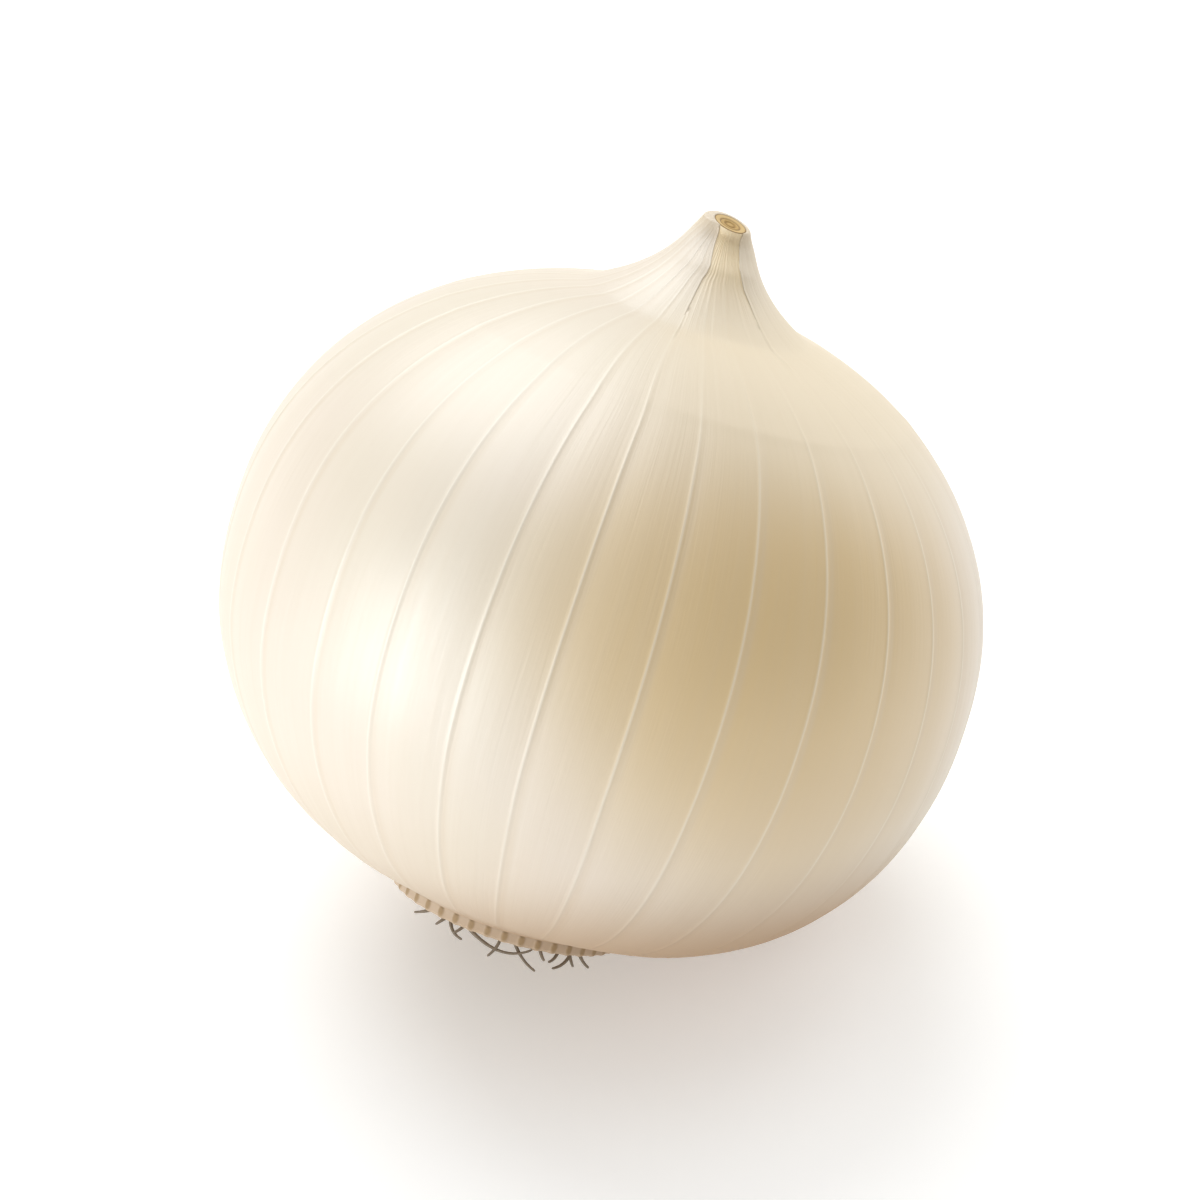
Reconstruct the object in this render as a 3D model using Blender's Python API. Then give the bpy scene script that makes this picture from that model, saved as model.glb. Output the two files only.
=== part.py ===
# A white onion with its dried neck and its tuft of roots, lying over on a small flat spot.
# Units are metres and +Z is up. The origin is the middle of the flat spot that the bulb rests on.
# The bulb is shaped about its own axis, root end down, with its middle at the local origin.
# Its local -Y side is the front, where the outer skin has parted at the neck.

import math
import random

import bmesh
import bpy
from mathutils import Euler, Matrix, Vector

MM = 0.001

# Bulb: a squarish ellipse turned about the axis
BULB_RADIUS = 40.0 * MM
BULB_HALF_HEIGHT = 34.8 * MM
SQUARENESS = 2.15

# Neck: flares out of the bulb's shoulder and narrows to the cut tip
NECK_RADIUS = 1.74 * MM
FLARE = 23.6 * MM
FLARE_START = 27.9 * MM
FLARE_LENGTH = 6.55 * MM
FLARE_POWER = 1.26
SHOULDER_SOFTNESS = 0.3 * MM
NECK_TIP = 44.0 * MM
TIP_NARROWING = 0.35 * MM
TIP_LENGTH = 3.0 * MM
NECK_LEAN_START = 34.0 * MM
NECK_LEAN_RIGHT = 0.4 * MM
NECK_LEAN_FRONT = 1.1 * MM
CUT_SLOPE_RIGHT = 0.16
CUT_SLOPE_FRONT = 0.21

# The bulb's lower part leans a little to the right, more and more down to just above the rim
ROOT_LEAN_RIGHT = 0.85 * MM
ROOT_LEAN_START = -9.0 * MM
ROOT_LEAN_FULL = -30.2 * MM
ROOT_LEAN_END = -32.0 * MM
ROOT_LEAN_POWER = 1.3

# Outer skin where it stands clear of the inner neck
SKIN_WALL = 0.6 * MM
CLEARANCE = 0.3 * MM
SOCKET_FLOOR = 34.0 * MM
PARTING_BASE = 35.6 * MM

# Edge of the outer skin round the neck: bearing from the front in degrees, height in mm
SKIN_EDGE = (
    (-180, 44.0),
    (-36, 44.0),
    (-26, 43.5),
    (-18, 42.5),
    (-12, 41.3),
    (-7, 40.0),
    (-5, 37.4),
    (-3, 35.6),
    (40, 35.6),
    (43, 37.6),
    (46, 40.8),
    (53, 42.0),
    (60, 43.5),
    (66, 44.0),
    (180, 44.0),
)

# Ribs that run from the neck to the root end: bearings in degrees of those at the front,
# with the rest spaced evenly behind
FRONT_RIBS = (-68.3, -55.0, -41.3, -29.2, -15.8, -4.2, 8.7, 21.7, 35.0, 48.3, 60.3, 71.7)
RIBS = 28
RIB_HALF_WIDTH = 0.6 * MM
RIB_HEIGHT = 0.35 * MM
RIB_TWIST = math.radians(1.0)
NECK_RIB_HEIGHT = 0.12 * MM
COLUMNS_PER_RIB = 4
BODY_ROWS = 22
SHOULDER_ROWS = 4
COLLAR_ROWS = 6
NECK_CORE_ROWS = 9
FIBRE_DEPTH = 0.08 * MM
FIRST_FIBRE = math.radians(-4.2)

# The rings of the cut face, as shares of its radius, and how deep they are sunk
CUT_RING = (0.68, 0.62, 0.48, 0.44)
CUT_CORE = (0.24, 0.18)
CUT_STEP = 0.30 * MM

# Root end: a low cone down to the rim, a shallow recess, and the root plate that sits in it
CONE_RADIUS = 20.5 * MM
RIM_RADIUS = 13.0 * MM
RIM_HEIGHT = -33.0 * MM
RECESS_DEPTH = 0.8 * MM
RIM_LIP = 0.25 * MM
PLATE_RADIUS = 12.6 * MM
PLATE_TOP = -32.5 * MM
PLATE_BOTTOM = -33.9 * MM
PLATE_HOLLOW = 0.25 * MM
PLATE_HOLLOW_RADIUS = 6.9 * MM
PLATE_FLAT_RADIUS = 11.3 * MM
PLATE_EDGE = 0.3 * MM
PLATE_ROUND = 0.45 * MM
PLATE_BAND = 0.9 * MM
ROOT_STUBS = 43
PLATE_COLUMNS = 90
FIRST_STUB = math.radians(2.8)
STUB_SIZE = Vector((0.28, 0.30, 0.42)) * MM
STUB_HEIGHT = -33.5 * MM

# Roots
ROOT_RADIUS = 0.30 * MM
ROOT_TIP_RADIUS = 0.20 * MM
ROOT_POINTS = 7
ROOT_SUNK = 0.5 * MM
ROOT_START = 11.8 * MM
FLOOR_GAP = 0.35 * MM
GROUND_ROOM = 1.6 * MM

# Roots not seen at the front, drawn within a reach to the right, downwards and outwards, in mm
REAR_ROOTS = 9
REAR_SPAN = (110, 250)
REAR_WANDER = 4
REAR_REACH = ((-1.8, 1.8), (0.8, 1.6), (0.2, 0.9))
INNER_ROOTS = 10
INNER_SPAN = (2.4 * MM, 6.6 * MM)
INNER_REACH = ((-1.5, 1.5), (0.7, 1.1), (0.1, 0.8))
GOLDEN_ANGLE = math.radians(137.5)
ROOT_BEND = 0.3
ROOT_DROOP = 0.2

# Roots seen at the front: bearing from the front in degrees, then how far its middle and its
# tip lie to the right, downwards and outwards from its start, in mm
FRONT_ROOTS = (
    (-38.3, (-0.8, 0.55, 0.5), (-1.7, 1.0, 0.7)),
    (-28.6, (-0.2, 0.4, 0.5), (-0.6, 1.0, 0.8)),
    (-26.4, (1.0, 0.95, 0.5), (2.3, 1.3, 0.6)),
    (-17.8, (-0.3, 0.55, 0.5), (-0.7, 1.0, 0.8)),
    (-16.5, (4.1, 1.2, -0.2), (7.1, 0.1, -1.4)),
    (1.7, (-0.2, 1.0, 0.5), (-0.8, 2.05, 0.8)),
    (9.1, (1.3, 1.4, 0.4), (2.9, 2.3, 0.5)),
    (22.7, (0.3, 0.7, 0.5), (0.6, 1.0, 0.8)),
    (33.5, (-0.6, 0.7, 0.5), (-1.3, 1.1, 0.7)),
    (41.4, (-1.0, 1.1, 0.5), (-2.4, 1.7, 0.6)),
    (40.4, (0.1, 0.7, 0.5), (0.4, 1.3, 0.8)),
    (46.9, (0.5, 0.8, 0.5), (1.4, 1.4, 0.7)),
)

# How the bulb lies: turned back and to the right, then pressed a little flat underneath
TURN_BACK = math.radians(24.4)
TURN_RIGHT = math.radians(17.2)
TURN_ON_AXIS = math.radians(-4.1)
FLAT_DEPTH = 0.75 * MM

# Colours and finishes: red, green, blue, roughness
SKIN_FINISH = (0.86, 0.79, 0.68, 0.35)
NECK_FINISH = (0.62, 0.48, 0.29, 0.6)
ROOT_FINISH = (0.22, 0.17, 0.12, 0.8)

COLUMNS = RIBS * COLUMNS_PER_RIB
FULL_TURN = 2 * math.pi
RANDOM_SEED = 28
MERGE = 1e-6


def clear_scene():
    for obj in list(bpy.data.objects):
        bpy.data.objects.remove(obj, do_unlink=True)


def finish(name, values):
    material = bpy.data.materials.new(name)
    material.use_nodes = True
    shader = material.node_tree.nodes["Principled BSDF"]
    shader.inputs["Base Color"].default_value = (*values[:3], 1)
    shader.inputs["Roughness"].default_value = values[3]
    shader.inputs["Metallic"].default_value = 0
    return material


def smooth_step(value):
    value = min(1.0, max(0.0, value))
    return value * value * (3 - 2 * value)


def near_tip(height):
    """0 below the last of the neck, 1 at its tip."""
    return smooth_step((height - NECK_TIP + TIP_LENGTH) / TIP_LENGTH)


def body_radius(height):
    """Radius of the bulb without its neck."""
    share = min(1.0, abs(height) / BULB_HALF_HEIGHT)
    return BULB_RADIUS * (1 - share**SQUARENESS) ** (1 / SQUARENESS)


def skin_radius(height):
    """Radius of the outer skin, bulb and neck together."""
    if height < 0:
        return body_radius(height)
    fall = (max(0.0, height - FLARE_START) / FLARE_LENGTH) ** FLARE_POWER
    neck = NECK_RADIUS + FLARE * math.exp(-fall)
    body = body_radius(height)
    radius = (body + neck + math.hypot(body - neck, SHOULDER_SOFTNESS)) / 2
    return radius - TIP_NARROWING * near_tip(height)


def neck_lean(height):
    """How far the neck has leaned from the axis at this height."""
    share = max(0.0, height - NECK_LEAN_START) / (NECK_TIP - NECK_LEAN_START)
    return Vector((NECK_LEAN_RIGHT, -NECK_LEAN_FRONT, 0)) * share * share


def root_lean(height):
    """How far the bulb's lower part has leaned from the axis at this height."""
    share = (ROOT_LEAN_START - height) / (ROOT_LEAN_START - ROOT_LEAN_FULL)
    grown = min(1.0, max(0.0, share)) ** ROOT_LEAN_POWER
    fade = smooth_step((height - ROOT_LEAN_END) / (ROOT_LEAN_FULL - ROOT_LEAN_END))
    return Vector((ROOT_LEAN_RIGHT * grown * fade, 0, 0))


def cut_slope(place, height):
    """Extra height that the slanting cut gives to a point at the tip."""
    return near_tip(height) * (place.y * CUT_SLOPE_FRONT - place.x * CUT_SLOPE_RIGHT)


def from_front(bearing, radius, height):
    """The local point at a bearing that is 0 at the front and grows to the right."""
    return Vector((radius * math.sin(bearing), -radius * math.cos(bearing), height))


def lean_rotation():
    return Euler((-TURN_BACK, TURN_RIGHT, TURN_ON_AXIS), "ZYX").to_matrix()


def resting_place():
    """Where the bulb's middle is, so that the flat spot lies at the origin on the ground."""
    up = lean_rotation().inverted() @ Vector((0, 0, 1))
    tilt = math.acos(up.z)
    steps = 400
    support, depth = max(
        (-h * math.cos(tilt) + body_radius(h) * math.sin(tilt), -h)
        for h in (-BULB_HALF_HEIGHT * i / steps for i in range(steps))
    )
    sideways = body_radius(depth) * math.cos(tilt) - depth * math.sin(tilt)
    axis = lean_rotation() @ Vector((0, 0, 1))
    heading = Vector((axis.x, axis.y, 0)).normalized()
    leaned = lean_rotation() @ root_lean(-depth)
    return Vector((0, 0, support - FLAT_DEPTH)) - heading * sideways - leaned


def height_above_ground(point):
    return (lean_rotation() @ point).z + resting_place().z


def rib_bearings():
    """The bearing of each rib at the widest ring, from the leftmost one in front to the right."""
    front = [math.radians(bearing) for bearing in FRONT_RIBS]
    behind = RIBS - len(front)
    gap = (FULL_TURN + front[0] - front[-1]) / (behind + 1)
    return front + [front[-1] + gap * (i + 1) for i in range(behind)]


def column_bearing(column, ribs, radius):
    """The bearing of a column: a rib's crest, its two feet, or the middle between ribs."""
    rib, role = divmod(column % COLUMNS, COLUMNS_PER_RIB)
    here = ribs[rib]
    after = ribs[(rib + 1) % RIBS] + (FULL_TURN if rib == RIBS - 1 else 0)
    foot = min(RIB_HALF_WIDTH / max(radius, MM), (after - here) / COLUMNS_PER_RIB)
    return (here, here + foot, (here + after) / 2, after - foot)[role]


def rib_relief(column, radius, height):
    """How far a rib's crest stands out of the skin."""
    if column % COLUMNS_PER_RIB:
        return 0.0
    at_roots = smooth_step((radius - RIM_RADIUS) / (4 * MM)) if height < 0 else 1.0
    at_neck = smooth_step((height - 26 * MM) / (8 * MM))
    return at_roots * (RIB_HEIGHT + (NECK_RIB_HEIGHT - RIB_HEIGHT) * at_neck)


def twist(height):
    """The ribs drift to the right towards the root end."""
    return RIB_TWIST * max(0.0, -height / BULB_HALF_HEIGHT) ** 2


def collar_top(bearing):
    """Height of the outer skin's edge round the neck, low where the skin has parted."""
    bearing = math.degrees(math.remainder(bearing, FULL_TURN))
    for (left, low), (right, high) in zip(SKIN_EDGE, SKIN_EDGE[1:]):
        if bearing <= right:
            return (low + (high - low) * (bearing - left) / (right - left)) * MM
    return SKIN_EDGE[-1][1] * MM


def spin_profile(profile, columns):
    """A closed turned mesh from a list of (radius, height), from the axis back to the axis."""
    mesh = bmesh.new()
    verts = [mesh.verts.new((0, -radius, height)) for radius, height in profile]
    edges = [mesh.edges.new(pair) for pair in zip(verts, verts[1:])]
    bmesh.ops.spin(
        mesh,
        geom=verts + edges,
        axis=(0, 0, 1),
        cent=(0, 0, 0),
        angle=FULL_TURN,
        steps=columns,
        use_merge=True,
    )
    bmesh.ops.remove_doubles(mesh, verts=mesh.verts, dist=MERGE)
    bmesh.ops.recalc_face_normals(mesh, faces=mesh.faces)
    return mesh


def column_of(vert, columns):
    bearing = math.atan2(vert.co.x, -vert.co.y)
    return round(bearing / FULL_TURN * columns) % columns


def mesh_object(name, mesh, material, parent, collection):
    data = bpy.data.meshes.new(name)
    mesh.to_mesh(data)
    mesh.free()
    data.materials.append(material)
    obj = bpy.data.objects.new(name, data)
    obj.parent = parent
    collection.objects.link(obj)
    return obj


def shade(obj, angle):
    obj.data.shade_smooth()
    obj.data.set_sharp_from_angle(angle=math.radians(angle))


def rows(low, high, count):
    return [low + (high - low) * i / count for i in range(count + 1)]


def outline_angle(height):
    """Where a height lies on the bulb's outline, as an angle up from the widest ring."""
    share = (abs(height) / BULB_HALF_HEIGHT) ** (SQUARENESS / 2)
    return math.copysign(math.asin(share), height)


def bulb_profile():
    """Half outline of the bulb: recess, rim, cone, body, neck, collar's edge and socket."""
    share = (CONE_RADIUS / BULB_RADIUS) ** SQUARENESS
    cone_height = -BULB_HALF_HEIGHT * (1 - share) ** (1 / SQUARENESS)
    body = []
    for angle in rows(outline_angle(cone_height), outline_angle(FLARE_START), BODY_ROWS):
        height = BULB_HALF_HEIGHT * abs(math.sin(angle)) ** (2 / SQUARENESS)
        height = math.copysign(height, angle)
        body.append((skin_radius(height), height))
    shoulder = rows(FLARE_START, SOCKET_FLOOR, SHOULDER_ROWS)[1:]
    collar = rows(PARTING_BASE, NECK_TIP, COLLAR_ROWS)
    recess = RIM_HEIGHT + RECESS_DEPTH
    profile = [(0, recess), (RIM_RADIUS - 2 * RIM_LIP, recess)]
    profile += [(RIM_RADIUS - RIM_LIP, RIM_HEIGHT + RIM_LIP / 2), (RIM_RADIUS, RIM_HEIGHT)]
    profile += [((RIM_RADIUS + CONE_RADIUS) / 2, (RIM_HEIGHT + cone_height) / 2)]
    profile += body + [(skin_radius(height), height) for height in shoulder + collar]
    inside = [*reversed(collar), SOCKET_FLOOR]
    profile += [(skin_radius(height) - SKIN_WALL, height) for height in inside]
    profile += [(0, SOCKET_FLOOR)]
    return profile


def shape_bulb(mesh):
    """Raises the ribs, parts the skin at the neck and leans the neck over."""
    ribs = rib_bearings()
    for vert in mesh.verts:
        radius, height = math.hypot(vert.co.x, vert.co.y), vert.co.z
        if radius < MERGE:
            continue
        column = column_of(vert, COLUMNS)
        bearing = column_bearing(column, ribs, radius)
        inside = height > SOCKET_FLOOR - MERGE and skin_radius(height) - radius > SKIN_WALL / 2
        if height > PARTING_BASE + MERGE:
            share = (height - PARTING_BASE) / (NECK_TIP - PARTING_BASE)
            height = PARTING_BASE + share * (collar_top(bearing) - PARTING_BASE)
            radius = skin_radius(height) - (SKIN_WALL if inside else 0)
        if not inside:
            radius += rib_relief(column, radius, height)
        place = from_front(bearing + twist(height), radius, height)
        place += neck_lean(height) + root_lean(height)
        place.z += cut_slope(place, height)
        vert.co = place
    bmesh.ops.dissolve_degenerate(mesh, edges=mesh.edges, dist=MERGE)


def press_flat(mesh):
    """Cuts the mesh level with the ground and closes it with one flat face."""
    up = lean_rotation().inverted() @ Vector((0, 0, 1))
    ground = up * -resting_place().z
    cut = bmesh.ops.bisect_plane(
        mesh,
        geom=mesh.verts[:] + mesh.edges[:] + mesh.faces[:],
        dist=MERGE,
        plane_co=ground,
        plane_no=up,
        clear_inner=True,
    )
    border = [item for item in cut["geom_cut"] if isinstance(item, bmesh.types.BMEdge)]
    bmesh.ops.contextual_create(mesh, geom=border)


def make_bulb(parent, collection):
    mesh = spin_profile(bulb_profile(), COLUMNS)
    shape_bulb(mesh)
    press_flat(mesh)
    bulb = mesh_object("bulb", mesh, finish("skin", SKIN_FINISH), parent, collection)
    shade(bulb, 50)
    return bulb


def core_radius(height):
    return skin_radius(height) - SKIN_WALL - CLEARANCE


def neck_core_profile():
    """Half outline of the inner neck, with the rings of its leaf sheaths in the cut face."""
    base = SOCKET_FLOOR + CLEARANCE
    top = NECK_TIP - 0.1 * MM
    edge = core_radius(top)
    profile = [(0, base), (core_radius(base) - CLEARANCE, base)]
    for height in rows(base, top, NECK_CORE_ROWS):
        profile += [(core_radius(height), height)]
    sunk = top - CUT_STEP
    profile += [(edge * share, height) for share, height in zip(CUT_RING, (top, sunk, sunk, top))]
    profile += [(edge * CUT_CORE[0], top), (edge * CUT_CORE[1], sunk), (0, sunk)]
    return profile


def shape_neck_core(mesh, columns):
    top = NECK_TIP - 0.5 * MM
    for vert in mesh.verts:
        radius, height = math.hypot(vert.co.x, vert.co.y), vert.co.z
        if radius < MERGE:
            vert.co += neck_lean(height)
            continue
        column = column_of(vert, columns)
        if PARTING_BASE - MM < height < top and column % 2:
            radius -= FIBRE_DEPTH
        bearing = FIRST_FIBRE + FULL_TURN * column / columns
        place = from_front(bearing, radius, height) + neck_lean(height)
        place.z += cut_slope(place, height)
        vert.co = place


def make_neck_core(parent, collection):
    columns = 2 * RIBS
    mesh = spin_profile(neck_core_profile(), columns)
    shape_neck_core(mesh, columns)
    core = mesh_object(
        "neck_core", mesh, finish("inner_neck", NECK_FINISH), parent, collection
    )
    shade(core, 40)
    return core


def plate_profile():
    """Half outline of the root plate, a shallow disc with a slightly hollow underside."""
    hollow = PLATE_BOTTOM + PLATE_HOLLOW
    return [
        (0, hollow),
        (PLATE_HOLLOW_RADIUS, hollow - PLATE_HOLLOW / 2),
        (PLATE_FLAT_RADIUS, PLATE_BOTTOM),
        (PLATE_RADIUS - PLATE_EDGE, PLATE_BOTTOM + PLATE_EDGE / 2),
        (PLATE_RADIUS, PLATE_BOTTOM + PLATE_ROUND),
        (PLATE_RADIUS, PLATE_BOTTOM + PLATE_BAND),
        (PLATE_RADIUS - PLATE_ROUND, PLATE_TOP),
        (0, PLATE_TOP),
    ]


def stub_mesh(bearing):
    """One short rounded root stub on the plate's edge."""
    mesh = bmesh.new()
    bmesh.ops.create_icosphere(mesh, subdivisions=1, radius=1)
    place = Matrix.Translation(from_front(bearing, PLATE_RADIUS, STUB_HEIGHT))
    turn = Matrix.Rotation(bearing, 4, "Z")
    mesh.transform(place @ turn @ Matrix.Diagonal((*STUB_SIZE, 1)))
    return mesh


def root_path(bearing, start_radius, middle, tip):
    """Points along one root, from inside the plate to its tip, kept off the ground."""
    frame = Matrix((
        (math.cos(bearing), math.sin(bearing), 0),
        (0, 0, -1),
        (math.sin(bearing), -math.cos(bearing), 0),
    )).transposed()
    start = from_front(bearing, start_radius, PLATE_BOTTOM + PLATE_EDGE / 2)
    tip = frame @ Vector(tip) * MM
    bend = frame @ Vector(middle) * 2 * MM - tip / 2
    points = [start + Vector((0, 0, ROOT_SUNK))]
    for i in range(1, ROOT_POINTS):
        share = i / (ROOT_POINTS - 1)
        point = start + bend * 2 * share * (1 - share) + tip * share**2
        points.append(keep_off_ground(point))
    return points


def keep_off_ground(point):
    """Bends a root up where it would go into the ground."""
    short = FLOOR_GAP + ROOT_RADIUS - height_above_ground(point)
    if short <= 0:
        return point
    return point + lean_rotation().inverted() @ Vector((0, 0, short))


def root_mesh(points):
    """A tapered tube along the points, closed at both ends."""
    curve = bpy.data.curves.new("root", "CURVE")
    curve.dimensions = "3D"
    curve.bevel_depth = 1.0
    curve.bevel_resolution = 1
    curve.use_fill_caps = True
    spline = curve.splines.new("POLY")
    spline.points.add(len(points) - 1)
    for i, (slot, point) in enumerate(zip(spline.points, points)):
        share = i / (len(points) - 1)
        slot.co = (*point, 1)
        slot.radius = ROOT_RADIUS + (ROOT_TIP_RADIUS - ROOT_RADIUS) * share**1.5
    guide = bpy.data.objects.new("root_guide", curve)
    bpy.context.scene.collection.objects.link(guide)
    graph = bpy.context.evaluated_depsgraph_get()
    data = bpy.data.meshes.new_from_object(guide.evaluated_get(graph))
    bpy.data.objects.remove(guide)
    mesh = bmesh.new()
    mesh.from_mesh(data)
    bmesh.ops.remove_doubles(mesh, verts=mesh.verts, dist=MERGE)
    bmesh.ops.recalc_face_normals(mesh, faces=mesh.faces)
    return mesh


def drawn_root(draw, bearing, start, reach):
    """One root of the plan, its middle and tip drawn within its reach."""
    tip = Vector([draw.uniform(*span) for span in reach])
    middle = tip / 2 + Vector((draw.uniform(-ROOT_BEND, ROOT_BEND), ROOT_DROOP, 0))
    return bearing, start, middle, tip


def root_plan():
    """Every root: the ones seen at the front, a fringe round the back and an inner tuft."""
    draw = random.Random(RANDOM_SEED)
    plan = [(math.radians(entry[0]), ROOT_START, *entry[1:]) for entry in FRONT_ROOTS]
    for bearing in rows(*REAR_SPAN, REAR_ROOTS - 1):
        bearing = math.radians(bearing + draw.uniform(-REAR_WANDER, REAR_WANDER))
        plan.append(drawn_root(draw, bearing, ROOT_START, REAR_REACH))
    for i, start in enumerate(rows(*INNER_SPAN, INNER_ROOTS - 1)):
        bearing = i * GOLDEN_ANGLE
        plan.append(drawn_root(draw, bearing, start, INNER_REACH))
    return plan


def has_room(entry):
    """Whether a root would stand clear of the ground where it leaves the plate."""
    bearing, start = entry[:2]
    return height_above_ground(from_front(bearing, start, PLATE_BOTTOM)) > GROUND_ROOM


def make_roots(parent, collection):
    """The root plate, its stubs and its roots, joined into one body."""
    material = finish("roots", ROOT_FINISH)
    mesh = spin_profile(plate_profile(), PLATE_COLUMNS)
    roots = mesh_object("roots", mesh, material, parent, collection)
    pieces = bpy.data.collections.new("root_pieces")
    bpy.context.scene.collection.children.link(pieces)
    for i in range(ROOT_STUBS):
        piece = stub_mesh(FIRST_STUB + FULL_TURN * i / ROOT_STUBS)
        mesh_object(f"stub_{i}", piece, material, parent, pieces)
    for i, entry in enumerate(filter(has_room, root_plan())):
        mesh_object(f"root_{i}", root_mesh(root_path(*entry)), material, parent, pieces)
    join = roots.modifiers.new("join", "BOOLEAN")
    join.operation = "UNION"
    join.solver = "EXACT"
    join.operand_type = "COLLECTION"
    join.collection = pieces
    graph = bpy.context.evaluated_depsgraph_get()
    joined = bpy.data.meshes.new_from_object(roots.evaluated_get(graph))
    roots.modifiers.clear()
    roots.data = joined
    for piece in list(pieces.objects):
        bpy.data.objects.remove(piece, do_unlink=True)
    bpy.data.collections.remove(pieces)
    shade(roots, 50)
    return roots


def main():
    clear_scene()
    collection = bpy.data.collections.new("onion")
    bpy.context.scene.collection.children.link(collection)
    axis = bpy.data.objects.new("onion_axis", None)
    axis.rotation_mode = "ZYX"
    axis.rotation_euler = (-TURN_BACK, TURN_RIGHT, TURN_ON_AXIS)
    axis.location = resting_place()
    collection.objects.link(axis)
    make_bulb(axis, collection)
    make_neck_core(axis, collection)
    make_roots(axis, collection)


main()
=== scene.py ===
import math
import random

import bmesh
import bpy
from mathutils import Euler, Matrix, Vector, noise


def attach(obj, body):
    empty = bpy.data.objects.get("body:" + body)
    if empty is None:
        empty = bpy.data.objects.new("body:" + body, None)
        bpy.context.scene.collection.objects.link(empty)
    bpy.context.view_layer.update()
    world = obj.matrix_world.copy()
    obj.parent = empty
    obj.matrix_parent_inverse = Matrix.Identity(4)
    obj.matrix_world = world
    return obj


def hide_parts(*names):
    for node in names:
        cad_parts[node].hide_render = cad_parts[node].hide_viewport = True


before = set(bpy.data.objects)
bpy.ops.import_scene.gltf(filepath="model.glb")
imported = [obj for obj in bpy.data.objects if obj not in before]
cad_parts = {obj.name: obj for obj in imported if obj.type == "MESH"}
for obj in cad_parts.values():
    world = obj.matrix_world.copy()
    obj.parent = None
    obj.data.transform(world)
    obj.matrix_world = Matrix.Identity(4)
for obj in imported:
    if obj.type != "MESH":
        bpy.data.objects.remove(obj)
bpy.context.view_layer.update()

# The white onion's skin, inner neck and roots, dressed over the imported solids, in metres
# with +Z up. Each piece is shaped about the bulb's own axis, root end down, and then laid
# over into its resting place in its mesh.

MM = 0.001
FULL_TURN = 2 * math.pi
MERGE = 2e-6

# The bulb's form, as in the part
BULB_RADIUS = 40.0 * MM
BULB_HALF_HEIGHT = 34.8 * MM
SQUARENESS = 2.15
NECK_RADIUS = 1.74 * MM
FLARE = 23.6 * MM
FLARE_START = 27.9 * MM
FLARE_LENGTH = 6.55 * MM
FLARE_POWER = 1.26
SHOULDER_SOFTNESS = 0.3 * MM
NECK_TIP = 44.0 * MM
NECK_LEAN_START = 34.0 * MM
NECK_LEAN_RIGHT = 0.4 * MM
NECK_LEAN_FRONT = 1.1 * MM
ROOT_LEAN_RIGHT = 0.85 * MM
ROOT_LEAN_START = -9.0 * MM
ROOT_LEAN_FULL = -30.2 * MM
ROOT_LEAN_END = -32.0 * MM
ROOT_LEAN_POWER = 1.3
TURN_BACK = math.radians(24.4)
TURN_RIGHT = math.radians(17.2)
TURN_ON_AXIS = math.radians(-4.1)
FLAT_DEPTH = 0.75 * MM

# The cut across the neck slants down to the front and to the right
CUT_SLOPE_RIGHT = 0.16
CUT_SLOPE_FRONT = 0.21
TIP_NARROWING = 0.35 * MM
TIP_LENGTH = 3.0 * MM

# Ribs: bearings from the front, in degrees, of those seen there. The rest are spaced evenly.
FRONT_RIBS = (-68.3, -55.0, -41.3, -29.2, -15.8, -4.2, 8.7, 21.7, 35.0, 48.3, 60.3, 71.7)
RIBS = 28
RIB_HEIGHT = 0.08 * MM
RIB_HALF_WIDTH = 0.17 * MM
HOLLOW_DEPTH = 0.05 * MM
HOLLOW_OFFSET = 0.62 * MM
HOLLOW_HALF_WIDTH = 0.42 * MM
PILLOW_RISE = 0.05 * MM
LEAST_RIB_SIZE = 0.35
FULL_SIZE_RADIUS = 30 * MM
RIM_RIB_FADE = 3 * MM
NECK_RIB_SHARE = 0.4
NECK_RIB_START = 2.5 * MM
NECK_RIB_FADE = 7 * MM
RIB_TWIST = math.radians(1.0)

# Columns of the skin's mesh, as shares of the way from a rib's crest to the next
COLUMN_SHARES = (0.0, 0.016, 0.034, 0.062, 0.112, 0.2, 0.312, 0.434)
COLUMNS_PER_RIB = 2 * len(COLUMN_SHARES) - 1
COLUMNS = RIBS * COLUMNS_PER_RIB
EVEN_RADIUS = 14 * MM
CROWDED_RADIUS = 24 * MM

# The parted skin at the front of the neck: its two edges as height in mm and bearing in degrees
SKIN_WALL = 0.13 * MM
PARTING_FADE = 33.4 * MM
PARTING_FULL = 40.0 * MM
PARTING_BASE = 35.6 * MM
WARP_START = 26.0 * MM
WARP_REACH = math.radians(60)
LEFT_RIB = 5
RIGHT_RIB = 9
LEFT_EDGE = (
    (33.8, -6.0),
    (35.6, -5.8),
    (37.0, -5.6),
    (38.1, -5.0),
    (38.8, -3.0),
    (39.6, -2.7),
    (40.6, -7.4),
    (41.4, -12.1),
    (42.5, -18.2),
    (43.5, -26.4),
    (44.1, -35.0),
)
RIGHT_EDGE = (
    (33.8, 45.2),
    (35.7, 44.9),
    (36.8, 44.2),
    (37.4, 42.8),
    (38.0, 41.0),
    (38.9, 40.0),
    (39.8, 39.3),
    (40.4, 42.8),
    (41.1, 47.0),
    (42.0, 53.2),
    (43.5, 60.2),
    (44.2, 62.0),
)
CORE_WARP_TOP = 39.5 * MM
TUCK_START = 34.8 * MM
TUCK_END = 36.2 * MM
UNDER_SKIN = 0.02 * MM
HIDDEN_GAP = 0.1 * MM
HUG_REACH = math.radians(62)

# The cut across the neck, and the outer skin's lip round it
CUT_HEIGHT = 43.6 * MM
CUT_RADIUS = 1.80 * MM
CUT_SHIFT = 0.20 * MM
CUT_FLARE_START = 39.0 * MM
LIP_ROUND = 0.36 * MM
LIP_ROWS = 10
LIP_RISE = 0.04 * MM
LIP_FULLNESS = 0.8

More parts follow.
